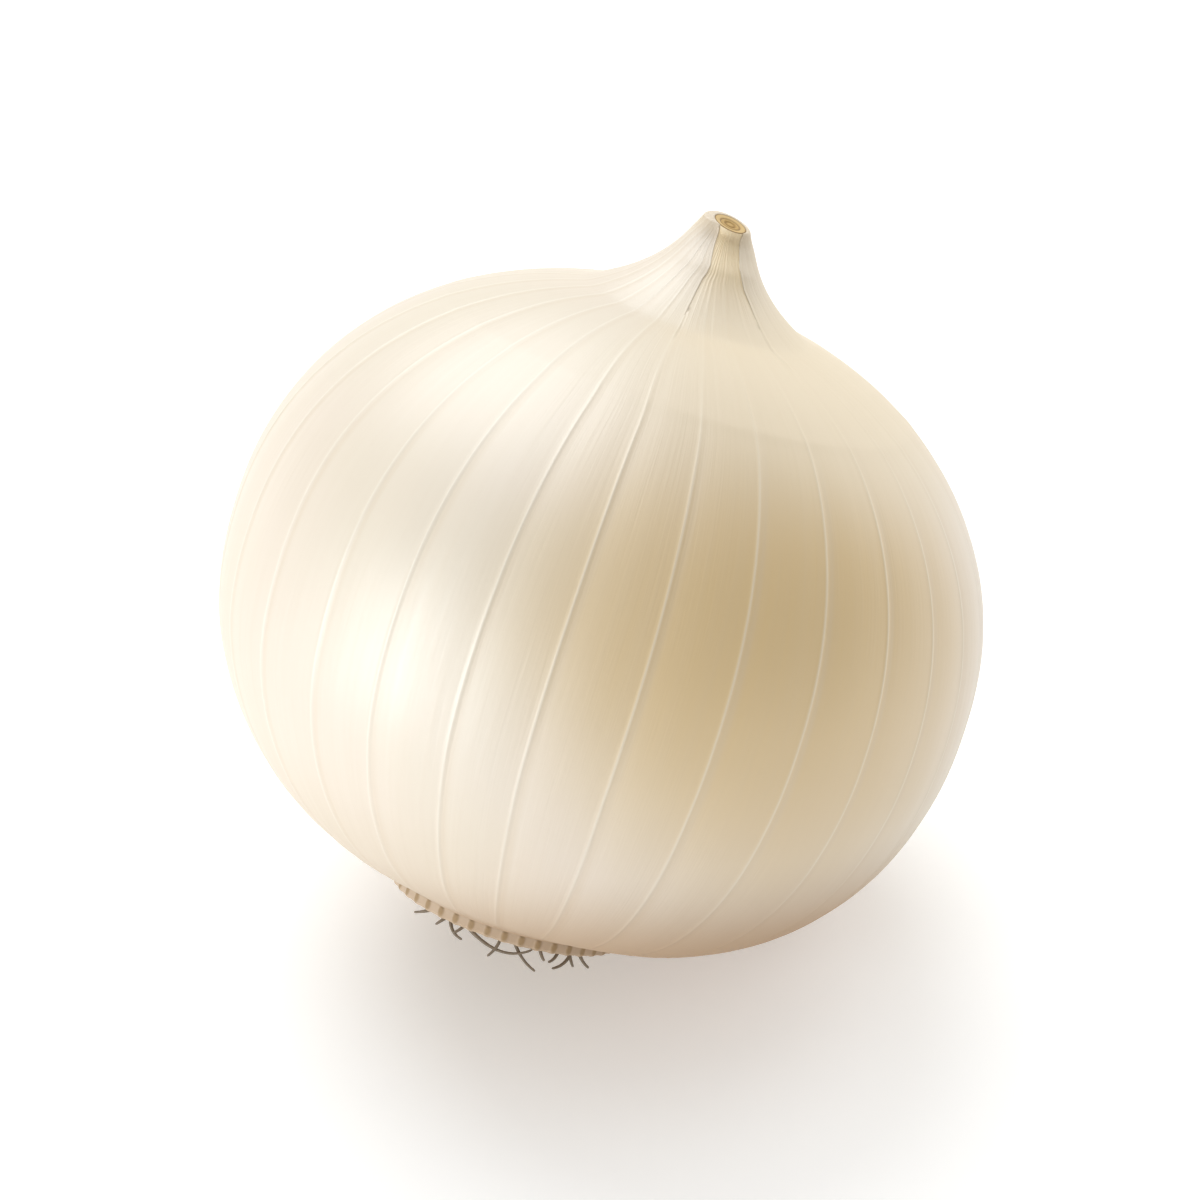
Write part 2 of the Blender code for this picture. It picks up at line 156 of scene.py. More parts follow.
# Root end: a low cone down to the rim, with the root plate under it. The skin is drawn up
# round it by the lift, so that the rim and its marks stand clear.
CONE_RADIUS = 22.0 * MM
ROOT_LIFT = 0.4 * MM
LIFT_START = 30.0 * MM
LIFT_LENGTH = 10.0 * MM
RIM_RADIUS = 12.95 * MM
RIM_HEIGHT = -32.6 * MM
RIM_ROUND = 0.12 * MM
PLATE_RADIUS = 12.62 * MM
PLATE_BOTTOM = -33.9 * MM
STUBS = 43
FIRST_STUB = math.radians(3.0)

# The slow unevenness of a grown bulb, and where it fades out at the neck
SWELL = 0.10 * MM
SWELL_LENGTH = 17 * MM
SWELL_END = 36 * MM
SWELL_FADE = 8 * MM

# The skin's hidden inner wall
LID_DEPTH = 0.9 * MM
LID_CORNER = 0.6 * MM
LID_STEP = 0.3 * MM
HIDDEN_FOOT = 34.2 * MM
HIDDEN_SPACING = 6
RIM_STEPS = 6

# How densely the turned outline is drawn
CONE_ROWS = 12
BODY_ROWS = 106
SHOULDER_ROWS = 30
COLLAR_ROWS = 54


def smooth_step(value):
    value = min(1.0, max(0.0, value))
    return value * value * (3 - 2 * value)


def bump(distance, half_width):
    return math.exp(-((distance / half_width) ** 2))


def rows(low, high, count):
    return [low + (high - low) * i / count for i in range(count + 1)]


def body_radius(height):
    share = min(1.0, abs(height) / BULB_HALF_HEIGHT)
    return BULB_RADIUS * (1 - share**SQUARENESS) ** (1 / SQUARENESS)


def body_depth(radius):
    return -BULB_HALF_HEIGHT * (1 - (radius / BULB_RADIUS) ** SQUARENESS) ** (1 / SQUARENESS)


def skin_radius(height):
    if height < 0:
        return body_radius(height)
    fall = (max(0.0, height - FLARE_START) / FLARE_LENGTH) ** FLARE_POWER
    neck = NECK_RADIUS + FLARE * math.exp(-fall)
    body = body_radius(height)
    radius = (body + neck + math.hypot(body - neck, SHOULDER_SOFTNESS)) / 2
    return radius - TIP_NARROWING * smooth_step((height - NECK_TIP + TIP_LENGTH) / TIP_LENGTH)


def neck_lean(height):
    share = max(0.0, height - NECK_LEAN_START) / (NECK_TIP - NECK_LEAN_START)
    return Vector((NECK_LEAN_RIGHT, -NECK_LEAN_FRONT, 0)) * share * share


def root_lean(height):
    """How far the bulb's lower part leans to the right, down to just above the rim."""
    share = (ROOT_LEAN_START - height) / (ROOT_LEAN_START - ROOT_LEAN_FULL)
    grown = min(1.0, max(0.0, share)) ** ROOT_LEAN_POWER
    fade = smooth_step((height - ROOT_LEAN_END) / (ROOT_LEAN_FULL - ROOT_LEAN_END))
    return Vector((ROOT_LEAN_RIGHT * grown * fade, 0, 0))


def lean_and_slope(place, height):
    """Leans a point with the neck or the root end, and gives it the cut's slant near the tip."""
    near_tip = smooth_step((height - NECK_TIP + TIP_LENGTH) / TIP_LENGTH)
    rise = place.y * CUT_SLOPE_FRONT - place.x * CUT_SLOPE_RIGHT
    lean = neck_lean(height) + root_lean(height)
    return place + lean + Vector((0, 0, rise * near_tip))


def from_front(bearing, radius, height):
    return Vector((radius * math.sin(bearing), -radius * math.cos(bearing), height))


def lean_rotation():
    return Euler((-TURN_BACK, TURN_RIGHT, TURN_ON_AXIS), "ZYX").to_matrix()


def resting_place():
    """Where the bulb's middle is, so that its flat spot lies at the origin on the ground."""
    turn = lean_rotation()
    tilt = math.acos(turn[2][2])
    steps = 400
    support, depth = max(
        (-h * math.cos(tilt) + body_radius(h) * math.sin(tilt), -h)
        for h in (-BULB_HALF_HEIGHT * i / steps for i in range(steps))
    )
    sideways = body_radius(depth) * math.cos(tilt) - depth * math.sin(tilt)
    heading = Vector((turn[0][2], turn[1][2], 0)).normalized()
    leaned = turn @ root_lean(-depth)
    return Vector((0, 0, support - FLAT_DEPTH)) - heading * sideways - leaned


MIDDLE = resting_place()
POSE = Matrix.Translation(MIDDLE) @ lean_rotation().to_4x4()


def height_above_ground(point):
    return (POSE @ point).z


def rib_bearings():
    front = [math.radians(bearing) for bearing in FRONT_RIBS]
    behind = RIBS - len(front)
    gap = (FULL_TURN + front[0] - front[-1]) / (behind + 1)
    return front + [front[-1] + gap * (i + 1) for i in range(behind)]


BEARINGS = rib_bearings()


def rib_share(column, radius):
    """Which rib a column belongs to, and its share of the way to the next rib or the last."""
    rib, step = divmod(column, COLUMNS_PER_RIB)
    step -= len(COLUMN_SHARES) - 1
    even = step / COLUMNS_PER_RIB
    crowded = math.copysign(COLUMN_SHARES[abs(step)], step)
    mix = smooth_step((radius - EVEN_RADIUS) / (CROWDED_RADIUS - EVEN_RADIUS))
    return rib, even + (crowded - even) * mix


def bearing_at(rib, share):
    here = BEARINGS[rib]
    other = BEARINGS[(rib + (1 if share > 0 else -1)) % RIBS]
    gap = abs(math.remainder(other - here, FULL_TURN))
    return here + gap * share


def rib_relief(share, radius, height):
    """Height of the skin's rib above the smooth bulb, with the soft hollow on its right."""
    pitch = FULL_TURN * radius / RIBS
    size = min(1.0, LEAST_RIB_SIZE + radius / FULL_SIZE_RADIUS)
    crest = RIB_HEIGHT * size * bump(share * pitch, RIB_HALF_WIDTH * size)
    hollow = bump(share * pitch - HOLLOW_OFFSET * size, HOLLOW_HALF_WIDTH * size)
    pillow = PILLOW_RISE * math.cos(FULL_TURN * share) * min(1.0, radius / BULB_RADIUS)
    if height < 0:
        fade = smooth_step((radius - RIM_RADIUS) / RIM_RIB_FADE)
    else:
        grown = smooth_step((radius - NECK_RIB_START) / NECK_RIB_FADE)
        fade = NECK_RIB_SHARE + (1 - NECK_RIB_SHARE) * grown
    return fade * (crest - HOLLOW_DEPTH * size * hollow - pillow)


def twist(height):
    return RIB_TWIST * max(0.0, -height / BULB_HALF_HEIGHT) ** 2


def edge_bearing(edge, height):
    """The bearing of one edge of the parting at a height."""
    height /= MM
    if height <= edge[0][0]:
        return math.radians(edge[0][1])
    for (low, left), (high, right) in zip(edge, edge[1:]):
        if height <= high:
            share = (height - low) / (high - low)
            return math.radians(left + (right - left) * share)
    return math.radians(edge[-1][1])


def warped(bearing, height):
    """Draws the ribs along with the edges of the parting, most of all beside them."""
    fade = smooth_step((height - WARP_START) / (PARTING_BASE - WARP_START))
    bearing = math.remainder(bearing, FULL_TURN)
    left, right = EDGE_COLUMNS
    to_left = (edge_bearing(LEFT_EDGE, height) - left) * fade
    to_right = (edge_bearing(RIGHT_EDGE, height) - right) * fade
    if bearing < left:
        return bearing + to_left * smooth_step(1 - (left - bearing) / WARP_REACH)
    if bearing > right:
        return bearing + to_right * smooth_step(1 - (bearing - right) / WARP_REACH)
    share = (bearing - left) / (right - left)
    return bearing + to_left + (to_right - to_left) * share


def parting_depth(height):
    """How deep the inner neck's surface lies under the outer skin's at a height."""
    return SKIN_WALL * smooth_step((height - PARTING_FADE) / (PARTING_FULL - PARTING_FADE))


def gentle_swell(place):
    fade = smooth_step((SWELL_END - place.z) / SWELL_FADE)
    return SWELL * noise.noise(place / SWELL_LENGTH) * fade


def skin_profile():
    """The skin's outline as (radius, height, kind): 0 outside, 1 inside, 2 and up the lip."""
    inner = RIM_RADIUS - 2 * RIM_ROUND
    lid = RIM_HEIGHT + LID_DEPTH
    profile = [(0, lid, 1), (inner - LID_CORNER, lid, 1), (inner, RIM_HEIGHT + LID_STEP, 1)]
    for i in range(RIM_STEPS + 1):
        angle = math.pi * (1 + i / RIM_STEPS)
        out = RIM_RADIUS - RIM_ROUND + RIM_ROUND * math.cos(angle)
        profile.append((out, RIM_HEIGHT + RIM_ROUND + RIM_ROUND * math.sin(angle), 0))
    low = Vector((RIM_RADIUS + 0.08 * MM, RIM_HEIGHT + RIM_ROUND * 1.2))
    cone_top = body_depth(CONE_RADIUS)
    high = Vector((CONE_RADIUS, cone_top + root_lift(CONE_RADIUS)))
    for share in rows(0, 1, CONE_ROWS)[:-1]:
        profile.append((*low.lerp(high, share), 0))
    lowest, highest = outline_angle(cone_top), outline_angle(FLARE_START)
    for angle in rows(lowest, highest, BODY_ROWS):
        height = BULB_HALF_HEIGHT * abs(math.sin(angle)) ** (2 / SQUARENESS)
        height = math.copysign(height, angle)
        radius = skin_radius(height)
        profile.append((radius, height + (root_lift(radius) if height < 0 else 0), 0))
    shoulder = rows(FLARE_START, PARTING_BASE, SHOULDER_ROWS)[1:]
    collar = rows(PARTING_BASE, CUT_HEIGHT - LIP_ROUND, COLLAR_ROWS)[1:]
    profile += [(skin_radius(height), height, 0) for height in shoulder + collar]
    for i, share in enumerate(rows(0, 1, LIP_ROWS)[1:]):
        profile.append((CUT_RADIUS + (1 - share) * MM / 2, CUT_HEIGHT, 2 + i))
    inside = [*reversed(collar[::HIDDEN_SPACING]), HIDDEN_FOOT]
    wall = SKIN_WALL + HIDDEN_GAP
    profile += [(skin_radius(height) - wall, height, 1) for height in inside]
    profile += [(0, HIDDEN_FOOT, 1)]
    return profile


def root_lift(radius):
    """How far the skin is drawn up round the root end, so that the rim stands clear."""
    return ROOT_LIFT * smooth_step((LIFT_START - radius) / LIFT_LENGTH)


def outline_angle(height):
    """Where a height lies on the bulb's outline, as an angle up from the widest ring."""
    share = (abs(height) / BULB_HALF_HEIGHT) ** (SQUARENESS / 2)
    return math.copysign(math.asin(share), height)


def turned_mesh(profile, columns):
    """Spins an outline of (radius, height, kind) about the axis into a closed mesh."""
    mesh = bmesh.new()
    row = mesh.verts.layers.int.new("row")
    verts = []
    for i, (radius, height, _) in enumerate(profile):
        vert = mesh.verts.new((0, -radius, height))
        vert[row] = i
        verts.append(vert)
    edges = [mesh.edges.new(pair) for pair in zip(verts, verts[1:])]
    bmesh.ops.spin(
        mesh,
        geom=verts + edges,
        axis=(0, 0, 1),
        cent=(0, 0, 0),
        angle=FULL_TURN,
        steps=columns,
        use_merge=True,
    )
    bmesh.ops.remove_doubles(mesh, verts=mesh.verts, dist=MERGE)
    bmesh.ops.recalc_face_normals(mesh, faces=mesh.faces)
    return mesh


def column_of(vert, columns):
    bearing = math.atan2(vert.co.x, -vert.co.y)
    return round(bearing / FULL_TURN * columns) % columns


def lip_place(bearing, share, parted):
    """A point of the rounded lip between the outer skin and the cut's edge."""
    start = CUT_HEIGHT - LIP_ROUND
    hidden = HIDDEN_GAP if parted else 0.0
    outer = core_side(bearing, start) if parted else hugged(bearing, start, skin_radius(start))
    rim = cut_edge(bearing)
    angle = share * math.pi / 2
    radius = outer + (rim - outer) * (1 - math.cos(angle)) ** LIP_FULLNESS
    rise = LIP_ROUND * math.sin(angle) + LIP_RISE * math.sin(math.pi * share)
    return radius - hidden, start + rise - hidden


def hugged(bearing, height, radius):
    """Draws the outer skin in against the inner neck beside the edges of the parting."""
    bearing = math.remainder(bearing, FULL_TURN)
    left, right = edge_bearing(LEFT_EDGE, height), edge_bearing(RIGHT_EDGE, height)
    beside = 1 - smooth_step(max(left - bearing, bearing - right, 0) / HUG_REACH)
    close = core_side(bearing, height) + parting_depth(height)
    return radius + (min(close, radius) - radius) * beside


def cut_edge(bearing):
    """Distance from the neck's middle to the edge of the cut, which lies off to the right."""
    across = CUT_SHIFT * math.cos(bearing)
    return CUT_SHIFT * math.sin(bearing) + math.sqrt(CUT_RADIUS**2 - across**2)


def skin_place(column, radius, height, kind):
    """Where a point of the turned outline goes, and what its pattern needs to know."""
    rib, share = rib_share(column, radius)
    near = smooth_step((height - WARP_START) / (PARTING_FADE - WARP_START))
    if column == LEFT_COLUMN + 1:
        share += (rib_share(LEFT_COLUMN, radius)[1] - share) * near
    if column == RIGHT_COLUMN - 1:
        share += (rib_share(RIGHT_COLUMN, radius)[1] - share) * near
    bearing = warped(bearing_at(rib, share), height)
    parted = LEFT_COLUMN < column < RIGHT_COLUMN
    if kind >= 2:
        radius, height = lip_place(bearing, (kind - 1) / LIP_ROWS, parted)
    elif kind == 1 and height > PARTING_BASE:
        radius = core_side(bearing, height) - (3 if parted else 1) * HIDDEN_GAP
    smooth_radius = radius
    if kind == 0:
        radius += rib_relief(share, smooth_radius, height)
        radius += gentle_swell(from_front(bearing, smooth_radius, height))
        if parted and height > WARP_START:
            radius += core_side(bearing, height) - smooth_radius - tuck(height)
        elif height > CUT_FLARE_START:
            radius += hugged(bearing, height, smooth_radius) - smooth_radius
    place = from_front(bearing + twist(height), radius, height)
    pattern = ((rib + share) * FULL_TURN / RIBS, smooth_radius, height, bearing + twist(height))
    return lean_and_slope(place, height), pattern


def tuck(height):
    """Takes the parted skin under the inner neck above the parting's foot."""
    dive = smooth_step((height - TUCK_START) / (TUCK_END - TUCK_START))
    return UNDER_SKIN * (4 * dive - 1) * smooth_step((height - WARP_START) / (4 * MM))


def edge_columns():
    """The columns on the edges of the parting: just right of one rib, just left of the other."""
    half = len(COLUMN_SHARES) - 1
    columns = (LEFT_RIB * COLUMNS_PER_RIB + half + 1, RIGHT_RIB * COLUMNS_PER_RIB + half - 1)
    return columns, tuple(bearing_at(*rib_share(column, 0.0)) for column in columns)


(LEFT_COLUMN, RIGHT_COLUMN), EDGE_COLUMNS = edge_columns()


def piece(name, mesh, material, node):
    """Lays a shaped mesh over into the bulb's resting place, attaches it to the root body and
    hides the part it stands for.
    """
    mesh.transform(POSE)
    for vert in mesh.verts:
        vert.co.z = max(vert.co.z, 0.0)
    data = bpy.data.meshes.new(name)
    mesh.to_mesh(data)
    mesh.free()
    data.materials.append(material)
    data.shade_smooth()
    obj = bpy.data.objects.new(name, data)
    bpy.context.scene.collection.objects.link(obj)
    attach(obj, "root")
    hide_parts(node)


def add_pattern(mesh):
    """Layers that tell the materials where a point lies: its rib, girth, height and bearing."""
    floats, vectors = mesh.verts.layers.float, mesh.verts.layers.float_vector
    return vectors.new("turn"), floats.new("girth"), floats.new("along"), vectors.new("round")


def write_pattern(vert, layers, pattern):
    angle, radius, height, bearing = pattern
    vert[layers[0]] = (math.cos(angle), math.sin(angle), 0)
    vert[layers[1]] = radius / MM
    vert[layers[2]] = height / MM
    vert[layers[3]] = (math.cos(bearing), math.sin(bearing), 0)


def make_skin(material):
    profile = skin_profile()
    mesh = turned_mesh(profile, COLUMNS)
    row = mesh.verts.layers.int["row"]
    layers = add_pattern(mesh)
    for vert in mesh.verts:
        radius, height, kind = profile[vert[row]]
        if radius == 0:
            continue
        vert.co, pattern = skin_place(column_of(vert, COLUMNS), radius, height, kind)
        write_pattern(vert, layers, pattern)
    bmesh.ops.remove_doubles(mesh, verts=mesh.verts, dist=MERGE)
    bmesh.ops.dissolve_degenerate(mesh, edges=mesh.edges, dist=MERGE)
    piece("onion_skin", mesh, material, "bulb")


# Inner neck
CORE_COLUMNS_PER_RIB = 12
CORE_COLUMNS = RIBS * CORE_COLUMNS_PER_RIB
CORE_ROWS = 70
CORE_BASE = 34.6 * MM
CORE_ROUND = 0.10 * MM
CORE_ROUND_STEPS = 4
CUT_ROWS = 36
FOLD_HEIGHT = 0.03 * MM
FOLDS_PER_RIB = 3
FOLDS_END = 42.5 * MM
OFF_CUT = 1.2

# Grooves between the sheaths in the cut: share of its radius, half width and depth in mm
CUT_GROOVES = ((0.60, 0.06, 0.10), (0.30, 0.07, 0.16))
CUT_DISH = 0.10


def core_profile():
    """The inner neck's outline as (radius, height, kind): 0 side, 1 foot, 2 cut, 3 its edge."""
    top = CUT_HEIGHT - CORE_ROUND
    profile = [(0, CORE_BASE, 1), (skin_radius(CORE_BASE) - 2 * SKIN_WALL, CORE_BASE, 1)]
    profile += [(CUT_RADIUS, height, 0) for height in rows(CORE_BASE, top, CORE_ROWS)]
    for angle in rows(0, math.pi / 2, CORE_ROUND_STEPS)[1:]:
        out = CUT_RADIUS - CORE_ROUND * (1 - math.cos(angle))
        profile.append((out, top + CORE_ROUND * math.sin(angle), 3))
    edge = CUT_RADIUS - CORE_ROUND
    for radius in reversed(rows(0, edge, CUT_ROWS)[:-1]):
        profile.append((radius, CUT_HEIGHT, 2))
    return profile


def core_side(bearing, height):
    """Radius of the inner neck's side, which narrows into the cut's edge at the tip."""
    below = skin_radius(height) - parting_depth(height)
    narrowing = smooth_step((height - CUT_FLARE_START) / (CUT_HEIGHT - CUT_FLARE_START))
    return below + (cut_edge(bearing) - below) * narrowing


def cut_relief(radius):
    """How far the rings of dried leaf sheaths lie below the cut's plane."""
    share = radius / CUT_RADIUS
    grooves = sum(depth * bump(share - at, width) for at, width, depth in CUT_GROOVES)
    return (grooves + CUT_DISH * (1 - share**2)) * MM


def make_inner_neck(material):
    profile = core_profile()
    mesh = turned_mesh(profile, CORE_COLUMNS)
    row = mesh.verts.layers.int["row"]
    layers = add_pattern(mesh)
    cut = mesh.verts.layers.float.new("cut")
    for vert in mesh.verts:
        radius, height, kind = profile[vert[row]]
        rib, step = divmod(column_of(vert, CORE_COLUMNS), CORE_COLUMNS_PER_RIB)
        share = step / CORE_COLUMNS_PER_RIB
        if share > 0.5:
            rib, share = (rib + 1) % RIBS, share - 1
        bearing = warped(bearing_at(rib, share), min(height, CORE_WARP_TOP))
        angle = (rib + share) * FULL_TURN / RIBS
        vert[cut] = radius / CUT_RADIUS if kind >= 2 else OFF_CUT
        if kind == 0:
            radius = core_side(bearing, height)
            folds = FOLD_HEIGHT * math.cos(FOLDS_PER_RIB * RIBS * angle)
            folds *= parting_depth(height) / SKIN_WALL
            near_cut = smooth_step((height - FOLDS_END) / MM)
            radius += (rib_relief(share, radius, height) + folds) * (1 - near_cut)
            radius += gentle_swell(from_front(bearing, radius, height))
        place = from_front(bearing, radius, height)
        if kind >= 2:
            share = radius / CUT_RADIUS
            height -= cut_relief(radius) if kind == 2 else 0.0
            place = from_front(bearing, cut_edge(bearing) * share, height)
            place.x += CUT_SHIFT * (1 - share)
        vert.co = lean_and_slope(place, height)
        write_pattern(vert, layers, (angle, radius, height, bearing))
    piece("inner_neck", mesh, material, "neck_core")


# Roots, by the part's rule, drawn finer
ROOT_RADIUS = 0.21 * MM
ROOT_TIP_RADIUS = 0.13 * MM
PART_ROOT_RADIUS = 0.30 * MM
ROOT_POINTS = 21
ROOT_SIDES = 10
ROOT_SUNK = 0.5 * MM
ROOT_WAVER = 0.12
ROOT_WAVER_LENGTH = 0.7 * MM
ROOT_BLUNTNESS = 0.55
ROOT_START = 11.8 * MM
ROOT_FOOT = PLATE_BOTTOM + 0.15 * MM
FLOOR_GAP = 0.35 * MM
GROUND_ROOM = 1.6 * MM

# Roots not seen at the front, drawn within a reach to the right, downwards and outwards, in mm
REAR_ROOTS = 9
REAR_SPAN = (110, 250)
REAR_WANDER = 4
REAR_REACH = ((-1.8, 1.8), (0.8, 1.6), (0.2, 0.9))
INNER_ROOTS = 10
INNER_SPAN = (2.4 * MM, 6.6 * MM)
INNER_REACH = ((-1.5, 1.5), (0.7, 1.1), (0.1, 0.8))
GOLDEN_ANGLE = math.radians(137.5)
ROOT_BEND = 0.3
ROOT_DROOP = 0.2
RANDOM_SEED = 28

# Roots seen at the front: bearing from the front in degrees, then how far its middle and its
# tip lie to the right, downwards and outwards from its start, in mm
FRONT_ROOTS = (
    (-38.3, (-0.8, 0.55, 0.5), (-1.7, 1.0, 0.7)),
    (-28.6, (-0.2, 0.4, 0.5), (-0.6, 1.0, 0.8)),
    (-26.4, (1.0, 0.95, 0.5), (2.3, 1.3, 0.6)),
    (-17.8, (-0.3, 0.55, 0.5), (-0.7, 1.0, 0.8)),
    (-16.5, (4.1, 1.2, -0.2), (7.1, 0.1, -1.4)),
    (1.7, (-0.2, 1.0, 0.5), (-0.8, 2.05, 0.8)),
    (9.1, (1.3, 1.4, 0.4), (2.9, 2.3, 0.5)),
    (22.7, (0.3, 0.7, 0.5), (0.6, 1.0, 0.8)),
    (33.5, (-0.6, 0.7, 0.5), (-1.3, 1.1, 0.7)),
    (41.4, (-1.0, 1.1, 0.5), (-2.4, 1.7, 0.6)),
    (40.4, (0.1, 0.7, 0.5), (0.4, 1.3, 0.8)),
    (46.9, (0.5, 0.8, 0.5), (1.4, 1.4, 0.7)),
)


def drawn_root(draw, bearing, start, reach):
    """One root of the plan, its middle and tip drawn within its reach."""
    tip = Vector([draw.uniform(*span) for span in reach])
    middle = tip / 2 + Vector((draw.uniform(-ROOT_BEND, ROOT_BEND), ROOT_DROOP, 0))
    return bearing, start, middle, tip


def root_plan():
    """Every root: the ones seen at the front, a fringe round the back and an inner tuft."""
    draw = random.Random(RANDOM_SEED)
    plan = [(math.radians(entry[0]), ROOT_START, *entry[1:]) for entry in FRONT_ROOTS]
    for bearing in rows(*REAR_SPAN, REAR_ROOTS - 1):
        bearing = math.radians(bearing + draw.uniform(-REAR_WANDER, REAR_WANDER))
        plan.append(drawn_root(draw, bearing, ROOT_START, REAR_REACH))
    for i, start in enumerate(rows(*INNER_SPAN, INNER_ROOTS - 1)):
        plan.append(drawn_root(draw, i * GOLDEN_ANGLE, start, INNER_REACH))
    return plan


def has_room(entry):
    bearing, start = entry[:2]
    return height_above_ground(from_front(bearing, start, PLATE_BOTTOM)) > GROUND_ROOM


def keep_off_ground(point):
    short = FLOOR_GAP + PART_ROOT_RADIUS - height_above_ground(point)
    return point if short <= 0 else point + lean_rotation().transposed() @ Vector((0, 0, short))


def root_path(bearing, start_radius, middle, tip):
    """Points along one root, from inside the plate to its tip, kept off the ground."""
    right = Vector((math.cos(bearing), math.sin(bearing), 0))
    axes = Matrix((right, (0, 0, -1), from_front(bearing, 1, 0))).transposed()
    start = from_front(bearing, start_radius, ROOT_FOOT)
    tip = axes @ Vector(tip) * MM
    bend = axes @ Vector(middle) * 2 * MM - tip / 2
    points = [start + Vector((0, 0, ROOT_SUNK))]
    for share in rows(0, 1, ROOT_POINTS - 1)[1:]:
        points.append(keep_off_ground(start + bend * 2 * share * (1 - share) + tip * share**2))
    return points


def add_root(mesh, points, thickness):
    """Extrudes a round root along its points, tapering to a blunt tip."""
    tip = mesh.verts.layers.float["tip"]
    aims = [(b - a).normalized() for a, b in zip(points, points[1:])]
    aims.append(aims[-1])
    facing = aims[0].to_track_quat("Z", "Y").to_matrix().to_4x4()
    made = bmesh.ops.create_circle(
        mesh,
        cap_ends=True,
        radius=thickness,
        segments=ROOT_SIDES,
        matrix=Matrix.Translation(points[0]) @ facing,
    )
    ring = made["verts"]
    cap = ring[0].link_faces[0]
    size = thickness
    for i in range(1, len(points)):
        share = i / (len(points) - 1)
        wanted = thickness + (thickness * ROOT_TIP_RADIUS / ROOT_RADIUS - thickness) * share
        wanted *= 1 + ROOT_WAVER * noise.noise(points[i] / ROOT_WAVER_LENGTH)
        if i == len(points) - 1:
            wanted *= ROOT_BLUNTNESS
        grown = bmesh.ops.extrude_face_region(mesh, geom=[cap])
        mesh.faces.remove(cap)
        ring = [item for item in grown["geom"] if isinstance(item, bmesh.types.BMVert)]
        cap = next(item for item in grown["geom"] if isinstance(item, bmesh.types.BMFace))
        bend = aims[i - 1].rotation_difference(aims[i]).to_matrix()
        for vert in ring:
            offset = bend @ (vert.co - points[i - 1]) * (wanted / size)
            vert.co = points[i] + offset
            vert[tip] = share
        size = wanted


# The root plate
PLATE_COLUMNS = STUBS * 14
PLATE_TOP = RIM_HEIGHT + 0.45 * MM
STUB_RISE = 0.09 * MM
STUB_HALF_WIDTH = 0.30 * MM
STUB_HEIGHT = RIM_HEIGHT - 0.52 * MM
STUB_EDGE = 1.6
STUB_FOOT = 0.25 * MM
PLATE_TURN = -33.55 * MM
PLATE_ROUND = 0.45 * MM
PLATE_ROUND_STEPS = 8
PLATE_HOLLOW = 0.25 * MM
PLATE_INSET = 0.06 * MM
PLATE_ROUGHNESS = 0.16 * MM
PLATE_GRAIN = 1.6 * MM
BAND_ROWS = 14
DISC_ROWS = 30

# What the tip layer says on the plate. Along each root it runs from 0 to 1.
ON_BAND = -1.0
ON_DISC = -0.5


def plate_profile():
    """The root plate: a low band under the skin's rim round a rough, slightly hollow disc."""
    outline = [(0, PLATE_TOP, 0), (PLATE_RADIUS - 0.3 * MM, PLATE_TOP, 0)]
    band = rows(RIM_HEIGHT + 0.1 * MM, PLATE_TURN, BAND_ROWS)
    outline += [(PLATE_RADIUS, height, 1) for height in band]
    for angle in rows(0, math.pi / 2, PLATE_ROUND_STEPS)[1:]:
        out = PLATE_RADIUS - PLATE_ROUND * (1 - math.cos(angle))
        outline.append((out, PLATE_TURN + (PLATE_BOTTOM - PLATE_TURN) * math.sin(angle), 1))
    for radius in reversed(rows(0, PLATE_RADIUS - PLATE_ROUND - 0.3 * MM, DISC_ROWS)):
        sag = PLATE_HOLLOW * math.cos(radius / PLATE_RADIUS * math.pi / 2)
        outline.append((radius, PLATE_BOTTOM + PLATE_INSET + sag, 2))
    return outline


def stub_rise(bearing, height):
    """How far a root stub swells out of the plate's band."""
    phase = math.remainder(bearing - FIRST_STUB, FULL_TURN / STUBS) * PLATE_RADIUS
    across = smooth_step(STUB_EDGE - abs(phase) / STUB_HALF_WIDTH)
    along = smooth_step((RIM_HEIGHT - height) / STUB_FOOT)
    return STUB_RISE * across * along


def make_roots(material):
    profile = plate_profile()
    mesh = turned_mesh(profile, PLATE_COLUMNS)
    row = mesh.verts.layers.int["row"]
    layers = add_pattern(mesh)
    tip = mesh.verts.layers.float.new("tip")
    for vert in mesh.verts:
        radius, height, kind = profile[vert[row]]
        bearing = math.atan2(vert.co.x, -vert.co.y)
        vert[tip] = ON_BAND if kind < 2 else ON_DISC
        if kind == 1:
            swell = stub_rise(bearing, height)
            vert.co = from_front(bearing, radius + swell, height - swell * 0.5)
        if kind == 2:
            rough = noise.fractal(vert.co / PLATE_GRAIN, 0.8, 2.1, 4)
            vert.co.z += PLATE_ROUGHNESS * rough * min(1.0, (PLATE_RADIUS - radius) / MM)
        write_pattern(vert, layers, (bearing, radius, height, bearing))
    for entry in filter(has_room, root_plan()):
        add_root(mesh, root_path(*entry), ROOT_RADIUS)
    bmesh.ops.recalc_face_normals(mesh, faces=mesh.faces)
    piece("root_tuft", mesh, material, "roots")


